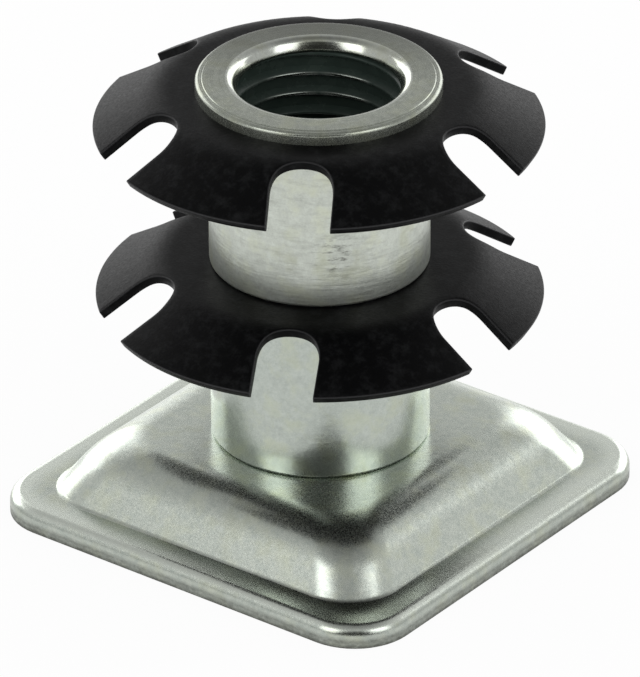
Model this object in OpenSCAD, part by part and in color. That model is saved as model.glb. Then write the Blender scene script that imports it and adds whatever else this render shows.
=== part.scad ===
// Threaded insert for a square tube: a pressed cap plate, a threaded bushing
// riveted through it, two sleeves and two spring-steel stars that grip the tube.
// Millimetres, +Z up. The origin is the middle of the plate's underside.

/* [Cap plate] */
// Side of the square cap plate
plate_side = 25.4; // [24:0.1:40]
// Radius of the plate's corners
plate_corner = 3.3; // [1:0.1:5]
// Thickness of the pressed sheet
plate_sheet = 1.2; // [0.8:0.05:1.5]
// Radius drawn over the plate's upper edge when it is stamped
plate_top_edge = 0.6; // [0.2:0.05:0.75]
// Radius of the plate's lower edge
plate_bottom_edge = 0.3; // [0.1:0.05:0.35]
// Flat rim between the plate's edge and the foot of the raised part
plate_rim = 1.95; // [1.5:0.05:2.6]
// Height of the plateau's top above the plate's underside
plateau_height = 4; // [3.2:0.1:6]
// Inside radius of the bend between the slope and the plateau
plate_bend = 2.2; // [0.4:0.1:2.4]
// Corner radius of the plateau's flat
plateau_corner = 0.8; // [0.1:0.1:2]

/* [Bushing] */
// Diameter of the bore at the thread's crests
bore_d = 8.5; // [6:0.1:9]
// Wall of the bushing's barrel
barrel_wall = 1.1; // [0.8:0.05:1.3]
// How far the flared rim reaches out past the barrel
rim_reach = 1.1; // [0.7:0.05:2]
// Thickness of the flared rim
rim_thick = 0.7; // [0.5:0.05:1.2]
// Radius of the rim's outer edge
rim_edge = 0.2; // [0.1:0.05:0.25]
// Radius of the lip between the rim and the bore
lip_radius = 0.45; // [0.2:0.05:0.5]
// How far the foot flange reaches out past the barrel
flange_reach = 1.1; // [0.6:0.05:1.4]
// Thickness of the foot flange
flange_thick = 1; // [0.6:0.05:1.4]
// Space between the foot flange and the bend of the plate's hollow
flange_space = 0.6; // [0.1:0.05:0.8]
// Chamfer at the bore's lower end
foot_chamfer = 0.5; // [0.2:0.05:0.6]

/* [Sleeves] */
// Length of the lower sleeve
lower_spacer_length = 9.7; // [5:0.1:20]
// Length of the upper sleeve
upper_spacer_length = 9.3; // [5:0.1:20]
// Wall of both sleeves
spacer_wall = 0.4; // [0.3:0.05:0.8]
// Radius of the sleeves' outer edges
spacer_edge = 0.25; // [0.1:0.05:0.25]

/* [Stars] */
// How far the stars stop short of the plate's sides
star_inset = 0.9; // [0.8:0.1:2]
// Thickness of the spring steel
star_sheet = 0.5; // [0.3:0.05:0.7]
// Flat of the hub beyond the sleeve
hub_margin = 1.9; // [1:0.05:2.2]
// Inside radius of the bend between the hub and the tabs
star_bend = 2.5; // [1:0.1:3]
// Slope of the tabs below the level
tab_slope = 32; // [15:1:38]
// Number of slots, and so of tabs
slot_count = 6; // [4:1:8]
// Width of a slot
slot_width = 3.3; // [2:0.1:3.6]
// Space between the hub's flat and a slot's round end
slot_margin = 0.5; // [0.2:0.1:1.2]
// Turn of the lower star about the bore
lower_star_turn = -2.5; // [-30:0.5:30]
// Turn of the upper star about the bore
upper_star_turn = 2; // [-30:0.5:30]

/* [Fit] */
// Clearance between the barrel and what is threaded on it
fit_clearance = 0.05; // [0.02:0.01:0.1]

/* [Hidden] */
$fn = 96;
arc_steps = 6;
cut_past = 1;
// Most of the sheet that its two edge radii may take up, and of its room that the bend may take up
top_edge_share = 0.65;
bottom_edge_share = 0.3;
bend_share = 0.97;

// Radii of the turned pieces
bore_r = bore_d / 2;
barrel_r = bore_r + barrel_wall;
fit_r = barrel_r + fit_clearance;
spacer_r = fit_r + spacer_wall;
rim_r = barrel_r + rim_reach;
flange_r = barrel_r + flange_reach;

// Heights of the stack
plateau_under = plateau_height - plate_sheet;
flange_bottom = plateau_under - flange_thick;
lower_star_z = plateau_height + lower_spacer_length;
upper_spacer_z = lower_star_z + star_sheet;
upper_star_z = upper_spacer_z + upper_spacer_length;
rim_bottom = upper_star_z + star_sheet;
rim_top = rim_bottom + rim_thick;

// The plate's flat rim
top_edge_r = min(plate_top_edge, top_edge_share * plate_sheet);
bottom_edge_r = min(plate_bottom_edge, bottom_edge_share * plate_sheet);
rim_centre = plate_side / 2 - plate_corner;

// The plate's raised part: its hollow clears the flange, and its slope runs
// from the foot as a tangent to the plateau's bend, whose radius stays within the slope's room
raised_centre = flange_r + flange_space - plateau_corner;
foot_u = plate_side / 2 - plate_rim - raised_centre;
run = foot_u - plateau_corner;
bend_room = (run * run + plateau_under * plateau_under) / (2 * plateau_under);
bend_outer = min(plate_bend + plate_sheet, bend_share * bend_room);
bend_inner = bend_outer - plate_sheet;
bend_centre = [plateau_corner, plateau_height - bend_outer];
foot_to_bend = [run, bend_outer - plateau_under];
slope_angle = atan2(-foot_to_bend[1], foot_to_bend[0]) + asin(bend_outer / norm(foot_to_bend));
foot_shift = plate_sheet * tan(slope_angle / 2);

// The stars' radii
star_r = plate_side / 2 - star_inset;
hub_r = spacer_r + hub_margin;
slot_inner_r = hub_r + slot_margin;
star_bend_top = star_bend + star_sheet;
tab_length = (star_r - hub_r - star_bend_top * sin(tab_slope)) / cos(tab_slope);
slot_cut = 2 * star_r;

// Points of an arc from one angle to another
function arc(centre, radius, from, to) = [
    for (i = [0 : arc_steps])
        let (a = from + (to - from) * i / arc_steps)
        centre + radius * [cos(a), sin(a)]
];

// A half section and its mirror image, set out from the corner centres
function both_sides(centre, section) = concat(
    [for (p = section) [p[0] + centre, p[1]]],
    [for (i = [len(section) - 1 : -1 : 0]) [-section[i][0] - centre, section[i][1]]]
);

// Solid with a square plan and round corners, from the section of its side
module square_solid(centre, section) {
    for (turn = [0 : 90 : 270])
        rotate(turn)
            translate([centre, centre, 0])
                rotate_extrude(angle = 90)
                    polygon(section);
    for (turn = [0, 90])
        rotate([90, 0, turn])
            linear_extrude(2 * centre, center = true)
                polygon(both_sides(centre, section));
}

// Side of the flat plate, with both edges rounded
function rim_section() = concat(
    [[0, 0]],
    arc([plate_corner - bottom_edge_r, bottom_edge_r], bottom_edge_r, -90, 0),
    arc([plate_corner - top_edge_r, plate_sheet - top_edge_r], top_edge_r, 0, 90),
    [[0, plate_sheet]]
);

// Top of the raised part: a sharp crease at the foot, a broad bend at the plateau
function raised_section() = concat(
    [[0, plate_sheet / 2], [foot_u + plate_sheet / 2 / tan(slope_angle), plate_sheet / 2]],
    arc(bend_centre, bend_outer, 90 - slope_angle, 90),
    [[0, plateau_height]]
);

// Hollow under the raised part, one sheet below it
function hollow_section() = concat(
    [[0, -cut_past], [foot_u - foot_shift + cut_past / tan(slope_angle), -cut_past]],
    arc(bend_centre, bend_inner, 90 - slope_angle, 90),
    [[0, plateau_under]]
);

module base_plate() {
    color("#b4b8b4")
    difference() {
        union() {
            square_solid(rim_centre, rim_section());
            square_solid(raised_centre, raised_section());
        }
        square_solid(raised_centre, hollow_section());
        cylinder(h = plateau_height + cut_past, r = fit_r);
    }
}

module threaded_bushing() {
    color("#a9ada9")
    rotate_extrude()
        polygon(concat(
            [[bore_r, flange_bottom + foot_chamfer], [bore_r + foot_chamfer, flange_bottom]],
            [[flange_r, flange_bottom], [flange_r, plateau_under]],
            [[barrel_r, plateau_under], [barrel_r, rim_bottom], [rim_r, rim_bottom]],
            arc([rim_r - rim_edge, rim_top - rim_edge], rim_edge, 0, 90),
            arc([bore_r + lip_radius, rim_top - lip_radius], lip_radius, 90, 180)
        ));
}

// Plain sleeve on the barrel, with rounded outer edges
module spacer(bottom, length) {
    translate([0, 0, bottom])
        rotate_extrude()
            polygon(concat(
                [[fit_r, 0]],
                arc([spacer_r - spacer_edge, spacer_edge], spacer_edge, -90, 0),
                arc([spacer_r - spacer_edge, length - spacer_edge], spacer_edge, 0, 90),
                [[fit_r, length]]
            ));
}

// Section of a star: a flat hub, a bend and a sloping tab of one thickness
function star_section() =
    let (
        hub_bend = [hub_r, -star_bend],
        down = [cos(tab_slope), -sin(tab_slope)],
        under = arc(hub_bend, star_bend, 90, 90 - tab_slope),
        over = arc(hub_bend, star_bend_top, 90 - tab_slope, 90)
    )
    concat(
        [[fit_r, 0]],
        under,
        [under[arc_steps] + tab_length * down, over[0] + tab_length * down],
        over,
        [[fit_r, star_sheet]]
    );

// Slot with a round inner end, open at the star's edge
module slot() {
    linear_extrude(slot_cut, center = true) {
        translate([slot_inner_r + slot_width / 2, 0])
            circle(d = slot_width);
        translate([slot_inner_r + slot_width / 2, -slot_width / 2])
            square([star_r, slot_width]);
    }
}

module star(bottom, turn) {
    translate([0, 0, bottom])
        rotate(turn)
            difference() {
                rotate_extrude()
                    polygon(star_section());
                for (k = [0 : slot_count - 1])
                    rotate(k * 360 / slot_count)
                        slot();
            }
}

module lower_spacer() {
    color("#b0b4b0") spacer(plateau_height, lower_spacer_length);
}

module lower_star() {
    color("#1c1c1e") star(lower_star_z, lower_star_turn);
}

module upper_spacer() {
    color("#acb0aa") spacer(upper_spacer_z, upper_spacer_length);
}

module upper_star() {
    color("#1c1c1e") star(upper_star_z, upper_star_turn);
}

base_plate();
threaded_bushing();
lower_spacer();
lower_star();
upper_spacer();
upper_star();
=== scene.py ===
import math

import bmesh
import bpy
from mathutils import Matrix, Vector


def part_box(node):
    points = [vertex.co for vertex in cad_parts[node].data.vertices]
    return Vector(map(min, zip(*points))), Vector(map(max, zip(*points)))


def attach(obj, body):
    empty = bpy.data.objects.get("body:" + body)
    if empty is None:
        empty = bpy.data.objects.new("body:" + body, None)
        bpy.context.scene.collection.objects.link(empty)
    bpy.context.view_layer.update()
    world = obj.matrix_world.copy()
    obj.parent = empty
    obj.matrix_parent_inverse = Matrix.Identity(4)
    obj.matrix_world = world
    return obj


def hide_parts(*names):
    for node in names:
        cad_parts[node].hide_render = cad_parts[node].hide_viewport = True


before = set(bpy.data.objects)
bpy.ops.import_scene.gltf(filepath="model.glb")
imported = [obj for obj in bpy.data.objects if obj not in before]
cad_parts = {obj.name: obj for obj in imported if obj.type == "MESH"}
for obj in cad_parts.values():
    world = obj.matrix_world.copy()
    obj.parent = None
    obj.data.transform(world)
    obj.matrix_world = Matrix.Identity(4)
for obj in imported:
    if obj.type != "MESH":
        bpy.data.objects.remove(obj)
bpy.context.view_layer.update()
print("frame loaded:", len(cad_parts), "nodes")

mm = 0.001  # sizes below are millimetres, Blender's are metres
fullTurn = 2 * math.pi
mergeGap = 0.0005  # points nearer than this become one


# a node's lowest and highest corners in millimetres
def nodeSpan(node):
    low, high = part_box(node)
    return low / mm, high / mm


# points of a round edge in a turned section, as radius and height
def roundEdge(centreR, centreZ, radius, fromDeg, toDeg, steps):
    points = []
    for step in range(steps + 1):
        angle = math.radians(fromDeg + (toDeg - fromDeg) * step / steps)
        points.append((centreR + radius * math.cos(angle), centreZ + radius * math.sin(angle)))
    return points


# an open run of edges through a section's points, standing on the XZ plane
def drawSection(bm, points):
    verts = [bm.verts.new((r, 0, z)) for r, z in points]
    edges = [bm.edges.new(pair) for pair in zip(verts, verts[1:])]
    return verts + edges


# a section turned once round the bore's axis
def turnSection(bm, points, steps):
    bmesh.ops.spin(
        bm, geom=drawSection(bm, points), cent=(0, 0, 0), axis=(0, 0, 1),
        angle=fullTurn, steps=steps, use_merge=True,
    )


# edges of an open border that lie at one height
def borderAt(bm, height, slack=0.01):
    return [
        e for e in bm.edges
        if e.is_boundary and all(abs(v.co.z - height) < slack for v in e.verts)
    ]


# doubles merged and faces turned outwards
def cleanMesh(bm):
    bmesh.ops.remove_doubles(bm, verts=bm.verts, dist=mergeGap)
    bmesh.ops.recalc_face_normals(bm, faces=bm.faces)


# a bmesh in millimetres becomes a piece that rides with the part and stands for its node
def makePiece(name, bm, node, finishes, sharpDeg):
    bmesh.ops.scale(bm, vec=(mm, mm, mm), verts=bm.verts)
    mesh = bpy.data.meshes.new(name)
    bm.to_mesh(mesh)
    bm.free()
    for finish in finishes:
        mesh.materials.append(finish)
    mesh.shade_smooth()
    mesh.set_sharp_from_angle(angle=math.radians(sharpDeg))
    piece = bpy.data.objects.new(name, mesh)
    bpy.context.scene.collection.objects.link(piece)
    flatFaces = piece.modifiers.new("flatFaces", "WEIGHTED_NORMAL")  # flats stay flat beside their bends
    flatFaces.keep_sharp = True
    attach(piece, "root")
    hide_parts(node)
    print("made", name, len(mesh.polygons), "faces")
    return piece


# a node tree that is added to line by line, with its places in millimetres
class Finish:
    def __init__(self, name):
        self.material = bpy.data.materials.new(name)
        self.material.use_nodes = True
        self.tree = self.material.node_tree
        self.shader = self.tree.nodes["Principled BSDF"]
        self.place = self.alter("SCALE", self.add("ShaderNodeTexCoord").outputs["Object"], 1 / mm)

    def add(self, kind, **settings):
        node = self.tree.nodes.new(kind)
        for key, value in settings.items():
            setattr(node, key, value)
        return node

    def join(self, source, target):
        self.tree.links.new(source, target)

    # a vector changed by a number or by another vector
    def alter(self, operation, source, by):
        node = self.add("ShaderNodeVectorMath", operation=operation)
        self.join(source, node.inputs[0])
        if operation == "SCALE":
            node.inputs["Scale"].default_value = by
        else:
            node.inputs[1].default_value = by
        return node.outputs["Value" if operation in ("DISTANCE", "DOT_PRODUCT") else "Vector"]

    # height above the plate's underside
    def height(self):
        split = self.add("ShaderNodeSeparateXYZ")
        self.join(self.place, split.inputs["Vector"])
        return split.outputs["Z"]

    # distance from the bore's axis
    def radius(self):
        return self.alter("DISTANCE", self.alter("MULTIPLY", self.place, (1, 1, 0)), (0, 0, 0))

    # distance outwards from the centres of a round-cornered square's corners
    def pastCorner(self, centre):
        past = self.alter("SUBTRACT", self.alter("ABSOLUTE", self.place, (0, 0, 0)), (centre, centre, 0))
        past = self.alter("MAXIMUM", past, (0, 0, 0))
        return self.alter("DISTANCE", self.alter("MULTIPLY", past, (1, 1, 0)), (0, 0, 0))

    # grain of a size, drawn out along an axis where the stretch is under one
    def grain(self, size, detail=3.0, roughness=0.55, stretch=(1, 1, 1), turn=(0, 0, 0)):
        mapping = self.add("ShaderNodeMapping")
        mapping.inputs["Scale"].default_value = stretch
        mapping.inputs["Rotation"].default_value = [math.radians(angle) for angle in turn]
        self.join(self.place, mapping.inputs["Vector"])
        noise = self.add("ShaderNodeTexNoise")
        noise.inputs["Scale"].default_value = 1 / size
        noise.inputs["Detail"].default_value = detail
        noise.inputs["Roughness"].default_value = roughness
        self.join(mapping.outputs["Vector"], noise.inputs["Vector"])
        return noise.outputs["Fac"]

    # tool marks round the bore, a little unsteady
    def rings(self, size, wander):
        noise = self.add("ShaderNodeTexNoise", noise_dimensions="1D")
        noise.inputs["Scale"].default_value = 1 / size
        noise.inputs["Detail"].default_value = 2.0
        path = self.math("ADD", self.radius(), self.spread(self.grain(2.0), 0, 1, -wander, wander))
        self.join(path, noise.inputs["W"])
        return noise.outputs["Fac"]

    # a value moved from one range to another
    def spread(self, source, fromLow, fromHigh, toLow, toHigh):
        node = self.add("ShaderNodeMapRange")
        for name, value in (
            ("From Min", fromLow), ("From Max", fromHigh), ("To Min", toLow), ("To Max", toHigh),
        ):
            node.inputs[name].default_value = value
        self.join(source, node.inputs["Value"])
        return node.outputs["Result"]

    def math(self, operation, first, second):
        node = self.add("ShaderNodeMath", operation=operation)
        for socket, value in zip(node.inputs, (first, second)):
            if isinstance(value, (int, float)):
                socket.default_value = value
            else:
                self.join(value, socket)
        return node.outputs["Value"]

    # two colours mixed by a value
    def tint(self, amount, first, second):
        node = self.add("ShaderNodeMix", data_type="RGBA")
        self.join(amount, node.inputs["Factor"])
        for socket, value in ((node.inputs[6], first), (node.inputs[7], second)):
            if isinstance(value, tuple):
                socket.default_value = (*value, 1)
            else:
                self.join(value, socket)
        return node.outputs[2]

    # the surface's colour, roughness and relief, the last in millimetres
    def apply(self, colour, roughness, relief):
        self.join(colour, self.shader.inputs["Base Color"])
        self.join(roughness, self.shader.inputs["Roughness"])
        bump = self.add("ShaderNodeBump")
        bump.inputs["Strength"].default_value = 1.0
        bump.inputs["Distance"].default_value = mm
        self.join(relief, bump.inputs["Height"])
        self.join(bump.outputs["Normal"], self.shader.inputs["Normal"])
        return self.material


# each zinc coat: its two greys, smudges, roughness, orange peel, how metallic and how brushed it is
zincCoats = {
    "plate": {
        "bright": (0.635, 0.675, 0.605), "dull": (0.47, 0.52, 0.475), "smudge": 0.3,
        "roughness": (0.22, 0.31), "peel": 0.006, "metallic": 1.0, "brush": 0.0,
    },
    "lowerSleeve": {
        "bright": (0.49, 0.53, 0.485), "dull": (0.39, 0.425, 0.39), "smudge": 0.25,
        "roughness": (0.17, 0.25), "peel": 0.004, "metallic": 1.0, "brush": 0.002,
    },
    "upperSleeve": {
        "bright": (0.66, 0.70, 0.635), "dull": (0.52, 0.55, 0.495), "smudge": 0.35,
        "roughness": (0.30, 0.40), "peel": 0.004, "metallic": 0.85, "brush": 0.010,
    },
    "collar": {
        "bright": (0.42, 0.445, 0.39), "dull": (0.28, 0.30, 0.26), "smudge": 0.5,
        "roughness": (0.20, 0.30), "peel": 0.006, "metallic": 0.85, "brush": 0.0,
    },
    # the lip's greys are lighter than the collar's: a painted highlight on the lip's round edge
    "lip": {
        "bright": (0.56, 0.585, 0.54), "dull": (0.45, 0.47, 0.43), "smudge": 0.4,
        "roughness": (0.15, 0.22), "peel": 0.004, "metallic": 1.0, "brush": 0.0,
    },
}
# dark grey for smudges and turning marks, also used for painted shade on the plate and collar
zincGrimeAndShade = (0.12, 0.125, 0.11)
zincYellow = (1.0, 0.99, 0.84)  # what the chromate leaves of a coat's red, green and blue in places
zincGrain = {"mottle": 0.45, "smudge": 2.6, "yellow": 1.3, "peel": 0.5, "grit": 0.1, "brush": 0.16}


# colour, roughness and relief of a zinc coat: mottled grey, a few smudges, faint orange peel
def coatZinc(finish, coat):
    mottle = finish.grain(zincGrain["mottle"], detail=6, roughness=0.8)
    smudge = finish.grain(zincGrain["smudge"], detail=5, roughness=0.65)
    yellow = finish.grain(zincGrain["yellow"], detail=4)
    peel = finish.grain(zincGrain["peel"], detail=2)
    grit = finish.grain(zincGrain["grit"], detail=2)
    speckle = finish.math("ADD", finish.math("MULTIPLY", mottle, 0.75), finish.math("MULTIPLY", grit, 0.25))
    colour = finish.tint(finish.spread(speckle, 0.38, 0.62, 0, 1), coat["dull"], coat["bright"])
    yellowed = tuple(value * share for value, share in zip(coat["bright"], zincYellow))
    colour = finish.tint(finish.spread(yellow, 0.48, 0.68, 0, 0.6), colour, yellowed)
    colour = finish.tint(finish.spread(smudge, 0.58, 0.76, 0, coat["smudge"]), colour, zincGrimeAndShade)
    finish.shader.inputs["Metallic"].default_value = coat["metallic"]
    relief = finish.math(
        "ADD", finish.math("MULTIPLY", peel, coat["peel"]), finish.math("MULTIPLY", grit, coat["peel"] * 0.1),
    )
    if coat["brush"]:
        streaks = finish.grain(zincGrain["brush"], detail=4, stretch=(0.08, 0.08, 1))
        relief = finish.math("ADD", relief, finish.math("MULTIPLY", streaks, coat["brush"]))
    return colour, finish.spread(grit, 0.3, 0.7, *coat["roughness"]), relief


# where the plate is worn and grimy, and where painted highlight and painted shade go on it; heights are above
# its underside
plateWearAndPaintedLight = {
    "shearTop": (0.4, 0.65),  # the torn lower part of the cut edge ends over these heights
    # darkening of the torn lower part, partly grime and partly painted shade of the contact shadow
    "shearDarkening": 0.4,
    "shearRoughness": 0.42,
    "tear": 0.25,
    "tearDepth": 0.012,
    "darkLines": ((0.05, 0.22), (0.83, 1.0)),  # two darker lines along the edge, each fading upwards; the lower one is painted shade from the floor beneath
    "lineDarkening": 0.3,
    "cornerCentre": 9.4,  # of the plan's round corners; outward distances below are from there
    "rimHighlightGrey": (0.84, 0.89, 0.81),  # painted highlight: the rim lighter towards its edge
    "rimHighlightUp": (0.9, 1.08),
    "rimHighlightOut": (1.5, 2.4),
    "creaseUp": (1.21, 1.4),  # painted shade in the crease, most of it near the corner facing the camera
    "creaseOut": (1.2, 2.0),
    "creaseShadeDepth": 0.7,
    "shadedCorner": (0.71, -0.71, 0),
    "shadedCornerFrom": (10, 14),
    "fleck": 0.6,  # unevenness just above the crease
    "fleckDepth": 0.012,
    "fleckUp": ((1.205, 1.24), (1.3, 1.6)),
}


# the plate's coat: a painted highlight along the rim, painted shade in the crease, and the cut edge torn,
# dull and darker towards the bottom, partly grime and partly painted shade
def makePlateZinc():
    finish = Finish("plateZinc")
    colour, roughness, relief = coatZinc(finish, zincCoats["plate"])
    height = finish.height()
    outward = finish.pastCorner(plateWearAndPaintedLight["cornerCentre"])
    # painted highlight: the rim's top lighter towards its outer edge
    rimHighlight = finish.math(
        "MULTIPLY", finish.spread(height, *plateWearAndPaintedLight["rimHighlightUp"], 0, 0.8),
        finish.spread(outward, *plateWearAndPaintedLight["rimHighlightOut"], 0.2, 1),
    )
    colour = finish.tint(rimHighlight, colour, plateWearAndPaintedLight["rimHighlightGrey"])
    # painted shade: the crease darkened, most of all near the corner facing the camera
    creaseShade = finish.math(
        "MULTIPLY", finish.spread(height, *plateWearAndPaintedLight["creaseUp"], plateWearAndPaintedLight["creaseShadeDepth"], 0),
        finish.spread(outward, *plateWearAndPaintedLight["creaseOut"], 1, 0),
    )
    cornerward = finish.alter("DOT_PRODUCT", finish.place, plateWearAndPaintedLight["shadedCorner"])
    creaseShade = finish.math("MULTIPLY", creaseShade, finish.spread(cornerward, *plateWearAndPaintedLight["shadedCornerFrom"], 0.05, 1))
    colour = finish.tint(creaseShade, colour, zincGrimeAndShade)

    # the cut edge's torn lower part is rougher and, with two lines, darker towards the bottom, partly grime
    # and partly painted shade
    sheared = finish.spread(height, *plateWearAndPaintedLight["shearTop"], 1, 0)
    tears = finish.grain(plateWearAndPaintedLight["tear"], detail=5, roughness=0.75, stretch=(0.6, 0.6, 1))
    edgeDarkening = finish.math("MULTIPLY", sheared, plateWearAndPaintedLight["shearDarkening"])
    for bottom, top in plateWearAndPaintedLight["darkLines"]:
        line = finish.spread(height, bottom, top, plateWearAndPaintedLight["lineDarkening"], 0)
        edgeDarkening = finish.math("ADD", edgeDarkening, line)
    edgeDarkening = finish.math("MULTIPLY", edgeDarkening, finish.spread(tears, 0.32, 0.68, 0.75, 1.25))
    colour = finish.tint(edgeDarkening, colour, zincGrimeAndShade)
    roughness = finish.math(
        "MAXIMUM", roughness, finish.math("MULTIPLY", sheared, plateWearAndPaintedLight["shearRoughness"]),
    )

    tornRelief = finish.math("MULTIPLY", sheared, finish.math("MULTIPLY", tears, plateWearAndPaintedLight["tearDepth"]))
    (fleckLow, fleckFull), (fleckFade, fleckHigh) = plateWearAndPaintedLight["fleckUp"]
    flecks = finish.math(
        "MULTIPLY", finish.spread(height, fleckLow, fleckFull, 0, 1),
        finish.spread(height, fleckFade, fleckHigh, 1, 0),
    )
    patchy = finish.math("MULTIPLY", finish.grain(plateWearAndPaintedLight["fleck"], detail=4), plateWearAndPaintedLight["fleckDepth"])
    flecks = finish.math("MULTIPLY", flecks, patchy)
    return finish.apply(colour, roughness, finish.math("ADD", relief, finish.math("ADD", tornRelief, flecks)))


def makeSleeveZinc(name, coat):
    finish = Finish(name)
    return finish.apply(*coatZinc(finish, coat))


# dark streaks round the upper sleeve, and a patch of scratches where it was gripped
gripMarks = {
    "place": (4.1, -3.9, 17.1),
    "reach": (0.4, 1.7),  # the patch fades over these distances from its middle
    "line": 0.3,
    "lineTurn": (8, 0, 0),
    "colour": (0.10, 0.10, 0.085),
}


def makeUpperSleeveZinc():
    finish = Finish("upperSleeveZinc")
    colour, roughness, relief = coatZinc(finish, zincCoats["upperSleeve"])
    streaks = finish.grain(gripMarks["line"], detail=5, roughness=0.75, stretch=(0.16, 0.16, 1))
    colour = finish.tint(finish.spread(streaks, 0.5, 0.75, 0, 0.3), colour, gripMarks["colour"])
    lines = finish.grain(
        gripMarks["line"], detail=4, roughness=0.7, stretch=(0.25, 0.25, 1), turn=gripMarks["lineTurn"],
    )
    distance = finish.alter("DISTANCE", finish.place, gripMarks["place"])
    near = finish.spread(distance, *gripMarks["reach"], 1, 0)
    marks = finish.math("MULTIPLY", near, finish.spread(lines, 0.52, 0.66, 0, 1))
    return finish.apply(finish.tint(marks, colour, gripMarks["colour"]), roughness, relief)


# turning marks on the collar, and painted shade on its side away from the camera
collarMarksAndShade = {
    "ring": 0.09, "wander": 0.05, "depth": 0.006,
    "farSide": (-0.61, 0.79, 0), "farSideShadeFrom": (-1, 6),
}


def makeCollarZinc():
    finish = Finish("collarZinc")
    colour, roughness, relief = coatZinc(finish, zincCoats["collar"])
    marks = finish.rings(collarMarksAndShade["ring"], collarMarksAndShade["wander"])
    colour = finish.tint(finish.spread(marks, 0.55, 0.75, 0, 0.5), colour, zincGrimeAndShade)
    # painted shade: the collar darkened towards its side away from the camera
    sideways = finish.alter("DOT_PRODUCT", finish.place, collarMarksAndShade["farSide"])
    colour = finish.tint(finish.spread(sideways, *collarMarksAndShade["farSideShadeFrom"], 0, 0.85), colour, zincGrimeAndShade)
    relief = finish.math("ADD", relief, finish.math("MULTIPLY", marks, collarMarksAndShade["depth"]))
    return finish.apply(colour, roughness, relief)


bushing = {
    "boreR": 4.25,  # crests of the thread
    "pitch": 1.15,
    "threadDepth": 0.4,
    "crestRound": 0.12,
    "topCrest": 22.29,  # height of a crest on the +X side
    "barrelR": 5.35,
    "rimThick": 0.7,
    "shoulder": 0.2,  # round outer edge of the collar
    "markR": 6.1,  # ring scored between the shoulder and the face
    "markDepth": 0.04,
    "lip": 0.5,  # radius over which the face turns down into the bore
    "flareDeg": 20,  # how far the mouth of the bore leans outwards
    "mouth": 0.75,  # depth of the mouth, above the thread
    "land": 0.2,  # plain bore between the mouth's flare and the thread
    "footChamfer": 0.5,  # height of the bore's lower mouth
    "footFlare": 0.6,  # how far it opens out
    "join": 0.05,  # the thread's trimmed ends are bridged to the rest over this height
    "edgeSteps": 8,
    "turnSteps": 160,
    "threadSteps": 96,
    "sharpDeg": 35,
}
thread = {
    # near black greys: partly oil, partly painted shade down in the bore
    "oilyShadeDark": (0.020, 0.031, 0.026),
    "oilFilmAndShade": (0.042, 0.057, 0.049),
    "wearAndGlint": (0.20, 0.22, 0.20),
    "roughness": (0.18, 0.32),
    "specular": 0.15,
    "filmDepth": 0.01,
    "glintSides": ((-0.30, 0.95, 0), (-0.85, 0.53, 0)),  # where painted glints sit on the crests
    "glintOut": (4.0, 4.2),
    "glintUp": ((20.5, 21.6), (23.0, 23.3)),  # and at which heights this begins and ends; the lower fade is painted shade down in the bore
}


# the thread's steel: dark partly as oiled steel and partly as painted shade of the deep bore, with painted
# glints on its crests in two places and a little random wear
def makeThreadSteelShadeAndGlint():
    finish = Finish("threadSteelShadeAndGlint")
    oilFilmAndShade = finish.grain(0.8)
    crest = finish.spread(finish.radius(), bushing["boreR"] + 0.02, bushing["boreR"] + 0.07, 1, 0)
    patches = finish.spread(finish.grain(0.5), 0.35, 0.6, 0.0, 0.15)
    # painted glints on the crests of the far wall, left and right of its middle
    for side in thread["glintSides"]:
        facing = finish.alter("DOT_PRODUCT", finish.place, side)
        patches = finish.math("ADD", patches, finish.spread(facing, *thread["glintOut"], 0, 0.9))
    wearAndGlint = finish.math("MULTIPLY", crest, patches)
    begins, ends = thread["glintUp"]
    wearAndGlint = finish.math("MULTIPLY", wearAndGlint, finish.spread(finish.height(), *begins, 0, 1))
    wearAndGlint = finish.math("MULTIPLY", wearAndGlint, finish.spread(finish.height(), *ends, 1, 0))
    finish.join(wearAndGlint, finish.shader.inputs["Metallic"])
    finish.shader.inputs["Specular IOR Level"].default_value = thread["specular"]
    colour = finish.tint(wearAndGlint, finish.tint(oilFilmAndShade, thread["oilyShadeDark"], thread["oilFilmAndShade"]), thread["wearAndGlint"])
    roughness = finish.spread(oilFilmAndShade, 0.3, 0.7, *thread["roughness"])
    return finish.apply(colour, roughness, finish.math("MULTIPLY", oilFilmAndShade, thread["filmDepth"]))


blackSteel = {
    "colour": (0.0016, 0.0017, 0.0019),
    "scuff": (0.0105, 0.011, 0.0115),
    # lighter grey of the edges: partly rubbed wear, partly painted highlight
    "edge": (0.015, 0.015, 0.016),
    "roughness": (0.36, 0.5),
    "specular": 0.07,
    "edgeSpecular": 0.22,
    "grainDepth": 0.009,
}


# black oxide on spring steel, satin, with faint scuffs; its second finish, for the edges, is lighter and
# glossier, partly rubbed wear and partly a painted highlight
def makeBlackSteel(name, colour, specular):
    finish = Finish(name)
    scuffs = finish.grain(0.7, detail=6, roughness=0.75)
    fine = finish.grain(0.14, detail=3)
    tone = finish.tint(finish.spread(scuffs, 0.48, 0.72, 0, 1), colour, blackSteel["scuff"])
    finish.shader.inputs["Specular IOR Level"].default_value = specular
    roughness = finish.spread(fine, 0.3, 0.7, *blackSteel["roughness"])
    return finish.apply(tone, roughness, finish.math("MULTIPLY", fine, blackSteel["grainDepth"]))


plateZinc = makePlateZinc()
lowerSleeveZinc = makeSleeveZinc("lowerSleeveZinc", zincCoats["lowerSleeve"])
upperSleeveZinc = makeUpperSleeveZinc()
collarZinc = makeCollarZinc()
lipHighlightZinc = makeSleeveZinc("lipHighlightZinc", zincCoats["lip"])
threadSteelShadeAndGlint = makeThreadSteelShadeAndGlint()
blackOxide = makeBlackSteel("blackOxide", blackSteel["colour"], blackSteel["specular"])
edgeWearAndHighlight = makeBlackSteel("edgeWearAndHighlight", blackSteel["edge"], blackSteel["edgeSpecular"])
print("finishes made")

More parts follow.
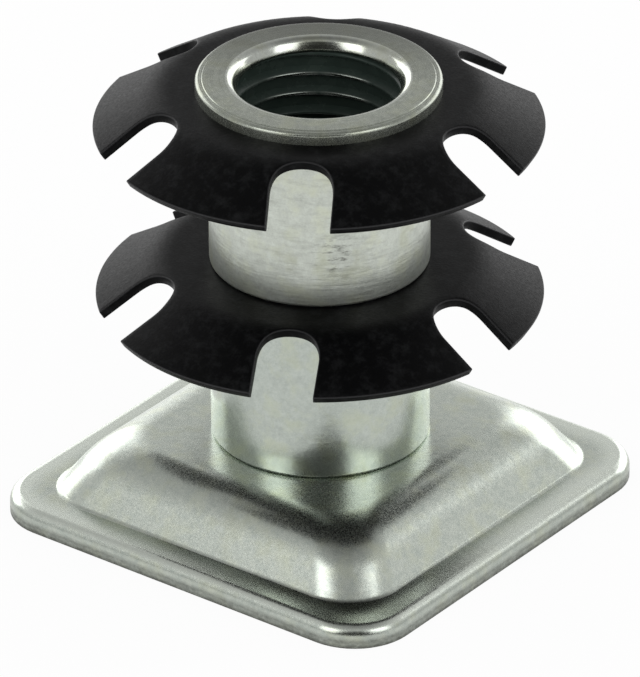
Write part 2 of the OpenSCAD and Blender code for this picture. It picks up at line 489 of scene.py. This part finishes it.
plate = {
    "corner": 3.3,  # plan radius of the sheet's corners
    "sheet": 1.2,
    "rim": 1.95,  # flat between the edge and the crease at the slope's foot
    "footCorner": 3.0,
    "topCorner": 2.5,
    "slopeDeg": 56,
    "footFillet": 0.3,
    "topBend": 3.4,  # radius of the bend between slope and plateau
    "topEdge": 0.6,
    "bottomEdge": 0.3,
    "cornerSteps": 12,
    "bendSteps": 12,
    "filletSteps": 5,
    "edgeSteps": 6,
    "sharpDeg": 40,
}


# a square loop with round corners, level at a height
def squareLoop(bm, half, corner, height):
    made = bmesh.ops.create_grid(
        bm, x_segments=1, y_segments=1, size=half, matrix=Matrix.Translation((0, 0, height)),
    )
    rounded = bmesh.ops.bevel(
        bm, geom=made["verts"], offset=corner, offset_type="OFFSET", segments=plate["cornerSteps"],
        profile=0.5, affect="VERTICES", material=-1,
    )
    face = rounded["verts"][0].link_faces[0]
    loop = list(face.edges)
    bmesh.ops.delete(bm, geom=[face], context="FACES_ONLY")
    return loop


# the slope's section as distance inside the foot line and height above the rim
def slopeSection(rise):
    slope = math.radians(plate["slopeDeg"])
    footTangent = plate["footFillet"] * math.tan(slope / 2)
    topTangent = plate["topBend"] * math.tan(slope / 2)
    cornerIn = rise / math.tan(slope)
    points = []
    for step in range(plate["filletSteps"] + 1):
        turn = slope * step / plate["filletSteps"]
        points.append((
            plate["footFillet"] * math.sin(turn) - footTangent, plate["footFillet"] * (1 - math.cos(turn)),
        ))
    for step in range(plate["bendSteps"] + 1):
        turn = slope * (1 - step / plate["bendSteps"])
        points.append((
            cornerIn + topTangent - plate["topBend"] * math.sin(turn),
            rise - plate["topBend"] * (1 - math.cos(turn)),
        ))
    return points


def makePlate():
    low, high = nodeSpan("base_plate")
    half = high.x
    foot = half - plate["rim"]
    boreR = nodeSpan("lower_spacer")[1].x - sleeve["wall"]
    bm = bmesh.new()
    section = slopeSection(high.z - plate["sheet"])
    loops = [squareLoop(bm, half, plate["corner"], plate["sheet"])]
    for inset, height in section:
        share = inset / section[-1][0]
        corner = plate["footCorner"] + (plate["topCorner"] - plate["footCorner"]) * share
        loops.append(squareLoop(bm, foot - inset, corner, plate["sheet"] + height))
    made = bmesh.ops.create_circle(
        bm, cap_ends=False, segments=4 * (plate["cornerSteps"] + 1), radius=boreR,
        matrix=Matrix.Translation((0, 0, high.z)) @ Matrix.Rotation(math.pi / 4, 4, "Z"),
    )
    loops.append(list({e for v in made["verts"] for e in v.link_edges}))
    for outer, inner in zip(loops, loops[1:]):
        bmesh.ops.bridge_loops(bm, edges=outer + inner)
    cleanMesh(bm)
    if sum(f.normal.z for f in bm.faces) < 0:
        bmesh.ops.reverse_faces(bm, faces=bm.faces)
    bmesh.ops.solidify(bm, geom=bm.faces[:], thickness=plate["sheet"])
    bmesh.ops.recalc_face_normals(bm, faces=bm.faces)
    sides = [f for f in bm.faces if abs(f.normal.z) < 0.1 and f.calc_center_median().xy.length > foot]
    for height, offset in ((plate["sheet"], plate["topEdge"]), (0, plate["bottomEdge"])):
        sideEdges = {e for f in sides if f.is_valid for e in f.edges}
        border = [e for e in sideEdges if all(abs(v.co.z - height) < 0.01 for v in e.verts)]
        bmesh.ops.bevel(
            bm, geom=border, offset=offset, offset_type="OFFSET", segments=plate["edgeSteps"],
            profile=0.5, affect="EDGES", material=-1,
        )
    return makePiece("cap_plate", bm, "base_plate", [plateZinc], plate["sharpDeg"])


sleeve = {"wall": 0.4, "edge": 0.2, "edgeSteps": 4, "turnSteps": 160, "sharpDeg": 40}


def makeSleeve(name, node, finish):
    low, high = nodeSpan(node)
    outer = high.x
    inner = outer - sleeve["wall"]
    edge = sleeve["edge"]
    section = [(inner, low.z)]
    section += roundEdge(outer - edge, low.z + edge, edge, -90, 0, sleeve["edgeSteps"])
    section += roundEdge(outer - edge, high.z - edge, edge, 0, 90, sleeve["edgeSteps"])
    section += [(inner, high.z), (inner, low.z)]
    bm = bmesh.new()
    turnSection(bm, section, sleeve["turnSteps"])
    cleanMesh(bm)
    return makePiece(name, bm, node, [finish], sleeve["sharpDeg"])


star = {
    "sheet": 0.5,
    "hubR": 7.7,  # end of the hub's flat
    "bendTop": 3.0,  # radius of the bend, on top
    "slopeDeg": 32,
    "slots": 6,
    "slotWidth": 3.3,
    "slotInnerR": 8.2,
    "edge": 0.06,
    "boreSteps": 6,  # steps of the grid along the bore, from a slot's middle to a tab's
    "endSteps": 14,  # along a slot's round end
    "sideSteps": 12,  # along a slot's straight side
    "across": 16,
    "lowerTurn": -2.5,  # of each star about the bore, in degrees
    "upperTurn": 2,
    "sharpDeg": 40,
}


# height of a star's top below its hub at a radius
def starDrop(r):
    slope = math.radians(star["slopeDeg"])
    bendEnd = star["hubR"] + star["bendTop"] * math.sin(slope)
    if r <= star["hubR"]:
        return 0.0
    if r < bendEnd:
        return star["bendTop"] - math.sqrt(star["bendTop"] ** 2 - (r - star["hubR"]) ** 2)
    return star["bendTop"] * (1 - math.cos(slope)) + (r - bendEnd) * math.tan(slope)


# radius, and angle from the slot's middle, along a slot's border out to the tab's corner
def slotBorder(tipR):
    half = star["slotWidth"] / 2
    centre = star["slotInnerR"] + half
    points = []
    for step in range(star["endSteps"]):
        turn = math.pi / 2 * step / star["endSteps"]
        x, y = centre - half * math.cos(turn), half * math.sin(turn)
        points.append((math.hypot(x, y), math.atan2(y, x)))
    startR = math.hypot(centre, half)
    for step in range(star["sideSteps"] + 1):
        r = startR + (tipR - startR) * step / star["sideSteps"]
        points.append((r, math.asin(half / r)))
    return points


# the line across from it: along the bore to the tab's middle, then out to the tab's tip
def tabSpine(innerR, tipR, middle):
    points = [(innerR, middle * step / star["boreSteps"]) for step in range(star["boreSteps"])]
    steps = star["endSteps"] + star["sideSteps"] - star["boreSteps"]
    points += [(innerR + (tipR - innerR) * step / steps, middle) for step in range(steps + 1)]
    return points


def makeStar(name, node, turnDeg):
    low, high = nodeSpan(node)
    innerR = nodeSpan("lower_spacer")[1].x - sleeve["wall"]
    middle = math.pi / star["slots"]
    border = slotBorder(high.y)
    spine = tabSpine(innerR, high.y, middle)
    bm = bmesh.new()
    bmesh.ops.create_grid(bm, x_segments=len(border) - 1, y_segments=star["across"], size=1)
    for v in bm.verts:  # each row of the grid runs from the spine to the slot's border
        column = round((v.co.x + 1) / 2 * (len(border) - 1))
        share = (v.co.y + 1) / 2
        r, angle = Vector(spine[column]).lerp(Vector(border[column]), share)
        v.co = (r * math.cos(middle - angle), r * math.sin(middle - angle), high.z - starDrop(r))
    bmesh.ops.mirror(
        bm, geom=bm.verts[:] + bm.edges[:] + bm.faces[:], axis="Y", merge_dist=mergeGap,
    )
    bmesh.ops.spin(
        bm, geom=bm.verts[:] + bm.edges[:] + bm.faces[:], cent=(0, 0, 0), axis=(0, 0, 1),
        angle=fullTurn * (star["slots"] - 1) / star["slots"], steps=star["slots"] - 1, use_duplicate=True,
    )
    cleanMesh(bm)
    if sum(f.normal.z for f in bm.faces) < 0:
        bmesh.ops.reverse_faces(bm, faces=bm.faces)
    bmesh.ops.solidify(bm, geom=bm.faces[:], thickness=star["sheet"])
    bmesh.ops.recalc_face_normals(bm, faces=bm.faces)
    sharpEdges = [e for e in bm.edges if e.calc_face_angle(0) > math.radians(60)]
    rounded = bmesh.ops.bevel(
        bm, geom=sharpEdges, offset=star["edge"], offset_type="OFFSET", segments=2,
        profile=0.5, affect="EDGES", material=-1,
    )
    for f in rounded["faces"]:
        f.material_index = 1
    turn = Matrix.Rotation(middle + math.radians(turnDeg), 3, "Z")  # a slot, not a tab, lies at no turn
    bmesh.ops.rotate(bm, verts=bm.verts, cent=(0, 0, 0), matrix=turn)
    return makePiece(name, bm, node, [blackOxide, edgeWearAndHighlight], star["sharpDeg"])


# one pitch of the thread's section, spun up a helix and trimmed level at both ends
def threadWall(bm, lowZ, highZ):
    pitch = bushing["pitch"]
    crest = bushing["boreR"]
    root = crest + bushing["threadDepth"]
    turns = math.ceil((highZ - lowZ) / pitch) + 3
    crestZ = bushing["topCrest"] + pitch - (turns - 1) * pitch
    bend = bushing["crestRound"]
    flank = (root - crest - bend / 2) * math.tan(math.radians(30)) + bend * math.sin(math.radians(60))
    section = [(root, crestZ - pitch / 2), (root, crestZ - flank)]
    section += roundEdge(crest + bend, crestZ, bend, 240, 120, 6)
    section += [(root, crestZ + flank), (root, crestZ + pitch / 2)]
    steps = bushing["threadSteps"]
    bmesh.ops.spin(
        bm, geom=drawSection(bm, section), cent=(0, 0, 0), axis=(0, 0, 1), dvec=(0, 0, pitch / steps),
        angle=fullTurn * turns, steps=steps * turns,
    )
    bmesh.ops.remove_doubles(bm, verts=bm.verts, dist=0.001)
    for height, up in ((lowZ, -1), (highZ, 1)):
        bmesh.ops.bisect_plane(
            bm, geom=bm.verts[:] + bm.edges[:] + bm.faces[:], plane_co=(0, 0, height),
            plane_no=(0, 0, up), clear_outer=True,
        )


def makeBushing():
    low, high = nodeSpan("threaded_bushing")
    lowerPlate = nodeSpan("base_plate")[1].z - plate["sheet"]
    rimBottom = high.z - bushing["rimThick"]
    rimR = high.x
    lip, edge, boreR, join = bushing["lip"], bushing["shoulder"], bushing["boreR"], bushing["join"]
    flare = math.radians(bushing["flareDeg"])
    faceR = bushing["markR"] - bushing["markDepth"]
    threadTop = high.z - bushing["mouth"]
    lipR = boreR + lip * math.cos(flare) + (bushing["mouth"] - lip * (1 - math.sin(flare))) * math.tan(flare)
    threadBottom = low.z + bushing["footChamfer"]
    bm = bmesh.new()
    threadWall(bm, threadBottom, threadTop)
    section = [(boreR + bushing["threadDepth"], threadBottom - join)]
    section += [(boreR + bushing["footFlare"], low.z), (rimR, low.z), (rimR, lowerPlate)]
    section += [(bushing["barrelR"], lowerPlate), (bushing["barrelR"], rimBottom), (rimR, rimBottom)]
    section += roundEdge(rimR - edge, high.z - bushing["markDepth"] - edge, edge, 0, 80, bushing["edgeSteps"])
    section += [(bushing["markR"], high.z - bushing["markDepth"]), (faceR, high.z)]
    section += roundEdge(lipR, high.z - lip, lip, 90, 180 - bushing["flareDeg"], bushing["edgeSteps"])
    section += [(boreR, threadTop + bushing["land"]), (boreR, threadTop + join)]
    turnSection(bm, section, bushing["turnSteps"])
    for lower, upper in ((threadBottom - join, threadBottom), (threadTop, threadTop + join)):
        bmesh.ops.bridge_loops(bm, edges=borderAt(bm, lower) + borderAt(bm, upper))
    cleanMesh(bm)
    for f in bm.faces:
        centre = f.calc_center_median()
        if math.hypot(centre.x, centre.y) < lipR and centre.z > threadBottom - join:
            f.material_index = 1 if centre.z < threadTop + join else 2
    finishes = [collarZinc, threadSteelShadeAndGlint, lipHighlightZinc]
    return makePiece("turned_bushing", bm, "threaded_bushing", finishes, bushing["sharpDeg"])


makePlate()
makeSleeve("lower_sleeve", "lower_spacer", lowerSleeveZinc)
makeSleeve("upper_sleeve", "upper_spacer", upperSleeveZinc)
makeStar("lower_spring_star", "lower_star", star["lowerTurn"])
makeStar("upper_spring_star", "upper_star", star["upperTurn"])
makeBushing()

camera = {
    "azimuth": 37.49,
    "elevation": 28.7,
    "roll": -0.285,
    "distance": 450,  # millimetres
    "aimRight": -0.006,
    "aimHeight": 9.22,
    "pixelsPerMm": 18.98,  # at the aim, in a picture of this size
    "picture": (640, 677),
    "sensor": 36,
}


# the camera's right, up and back, before its roll
def cameraAxes():
    a = math.radians(camera["azimuth"])
    e = math.radians(camera["elevation"])
    back = Vector((math.sin(a) * math.cos(e), -math.cos(a) * math.cos(e), math.sin(e)))
    right = Vector((math.cos(a), math.sin(a), 0))
    return right, back.cross(right), back


def makeCamera():
    right, up, back = cameraAxes()
    roll = math.radians(camera["roll"])
    aim = right * camera["aimRight"] + Vector((0, 0, camera["aimHeight"]))
    data = bpy.data.cameras.new("photoCamera")
    focalPixels = camera["pixelsPerMm"] * camera["distance"]
    data.sensor_width = camera["sensor"]
    data.lens = camera["sensor"] * focalPixels / max(camera["picture"])
    data.clip_start = 0.01
    holder = bpy.data.objects.new("photoCamera", data)
    axes = Matrix((
        right * math.cos(roll) + up * math.sin(roll), up * math.cos(roll) - right * math.sin(roll), back,
    )).transposed()
    holder.matrix_world = Matrix.Translation((aim + back * camera["distance"]) * mm) @ axes.to_4x4()
    bpy.context.scene.collection.objects.link(holder)
    bpy.context.scene.camera = holder


makeCamera()

studio = {
    "floorSize": 6.0,  # metres
    "floorWhite": (0.92, 0.92, 0.92),
    "floorGlow": 0.94,  # share of the floor's white that doesn't depend on the lamps
    "sweep": ((0.0, 0.7), (0.3, 0.64), (0.48, 0.6), (0.8, 0.46), (1.0, 0.2)),  # bright low down, dim overhead
    "cameraSide": ((0.62, 1.0), (0.84, 0.04)),  # and dark where the camera stands
    "ambient": 0.62,
}

# heading is from the camera's own direction, to the right, in degrees; glow is the panel's brightness
softboxes = {
    "frontLeft": {"heading": -47, "elevation": 29, "distance": 0.7, "size": (0.36, 0.42), "glow": 1.9},
    "frontRight": {"heading": 46, "elevation": 29, "distance": 0.7, "size": (0.36, 0.42), "glow": 1.9},
    "backLeft": {"heading": -145, "elevation": 17, "distance": 0.8, "size": (0.68, 0.46), "glow": 1.9},
    "backRight": {"heading": 139, "elevation": 17, "distance": 0.8, "size": (0.8, 0.46), "glow": 1.8},
}


def makeSoftbox(name, spec):
    right, up, back = cameraAxes()
    ahead = Vector((back.x, back.y, 0)).normalized()
    heading, rise = math.radians(spec["heading"]), math.radians(spec["elevation"])
    direction = (ahead * math.cos(heading) + right * math.sin(heading)) * math.cos(rise)
    direction.z = math.sin(rise)
    data = bpy.data.lights.new(name, "AREA")
    data.shape = "RECTANGLE"
    data.size, data.size_y = spec["size"]
    data.energy = spec["glow"] * math.pi * data.size * data.size_y
    lamp = bpy.data.objects.new(name, data)
    lamp.location = direction * spec["distance"]
    lamp.rotation_euler = direction.to_track_quat("Z", "Y").to_euler()
    bpy.context.scene.collection.objects.link(lamp)


# one for camera, mirror and glass rays, nought for the light that falls on the object
def seenRay(tree):
    path = tree.nodes.new("ShaderNodeLightPath")
    total = path.outputs["Is Camera Ray"]
    for name in ("Is Glossy Ray", "Is Transmission Ray"):
        plus = tree.nodes.new("ShaderNodeMath")
        plus.operation = "MAXIMUM"
        tree.links.new(total, plus.inputs[0])
        tree.links.new(path.outputs[name], plus.inputs[1])
        total = plus.outputs["Value"]
    return total


def makeFloor():
    bm = bmesh.new()
    bmesh.ops.create_grid(bm, x_segments=1, y_segments=1, size=studio["floorSize"] / 2)
    mesh = bpy.data.meshes.new("floor")
    bm.to_mesh(mesh)
    bm.free()
    floor = bpy.data.objects.new("floor", mesh)
    bpy.context.scene.collection.objects.link(floor)
    material = bpy.data.materials.new("floorWhite")
    material.use_nodes = True
    tree = material.node_tree
    shader = tree.nodes["Principled BSDF"]
    shader.inputs["Base Color"].default_value = (*studio["floorWhite"], 1)
    shader.inputs["Roughness"].default_value = 1.0
    shader.inputs["Specular IOR Level"].default_value = 0.0
    glow = tree.nodes.new("ShaderNodeEmission")
    mix = tree.nodes.new("ShaderNodeMixShader")
    share = tree.nodes.new("ShaderNodeMath")
    share.operation = "MULTIPLY"
    share.inputs[1].default_value = studio["floorGlow"]
    tree.links.new(seenRay(tree), share.inputs[0])
    tree.links.new(share.outputs["Value"], mix.inputs["Fac"])
    tree.links.new(shader.outputs["BSDF"], mix.inputs[1])
    tree.links.new(glow.outputs["Emission"], mix.inputs[2])
    tree.links.new(mix.outputs["Shader"], tree.nodes["Material Output"].inputs["Surface"])
    mesh.materials.append(material)


def makeWorld():
    world = bpy.data.worlds.new("studio")
    world.use_nodes = True
    bpy.context.scene.world = world
    tree = world.node_tree
    background = tree.nodes["Background"]
    right, up, back = cameraAxes()
    direction = tree.nodes.new("ShaderNodeTexCoord").outputs["Generated"]
    shades = []
    cameraward = Vector((back.x, back.y, 0)).normalized()
    for axis, steps in ((Vector((0, 0, 1)), studio["sweep"]), (cameraward, studio["cameraSide"])):
        along = tree.nodes.new("ShaderNodeVectorMath")
        along.operation = "DOT_PRODUCT"
        along.inputs[1].default_value = axis
        tree.links.new(direction, along.inputs[0])
        ramp = tree.nodes.new("ShaderNodeValToRGB")
        for position, shade in steps[1:-1]:
            ramp.color_ramp.elements.new(position)
        for element, (position, shade) in zip(ramp.color_ramp.elements, steps):
            element.position = position
            element.color = (shade, shade, shade, 1)
        tree.links.new(along.outputs["Value"], ramp.inputs["Fac"])
        shades.append(ramp.outputs["Color"])
    both = tree.nodes.new("ShaderNodeMix")
    both.data_type = "RGBA"
    both.blend_type = "MULTIPLY"
    both.inputs["Factor"].default_value = 1.0
    tree.links.new(shades[0], both.inputs[6])
    tree.links.new(shades[1], both.inputs[7])
    mix = tree.nodes.new("ShaderNodeMix")
    mix.data_type = "RGBA"
    mix.inputs[6].default_value = (studio["ambient"], studio["ambient"], studio["ambient"], 1)
    tree.links.new(seenRay(tree), mix.inputs["Factor"])
    tree.links.new(both.outputs[2], mix.inputs[7])
    tree.links.new(mix.outputs[2], background.inputs["Color"])


for name, spec in softboxes.items():
    makeSoftbox(name, spec)
makeFloor()
makeWorld()
bpy.context.scene.view_settings.view_transform = "Standard"
print("studio lit")
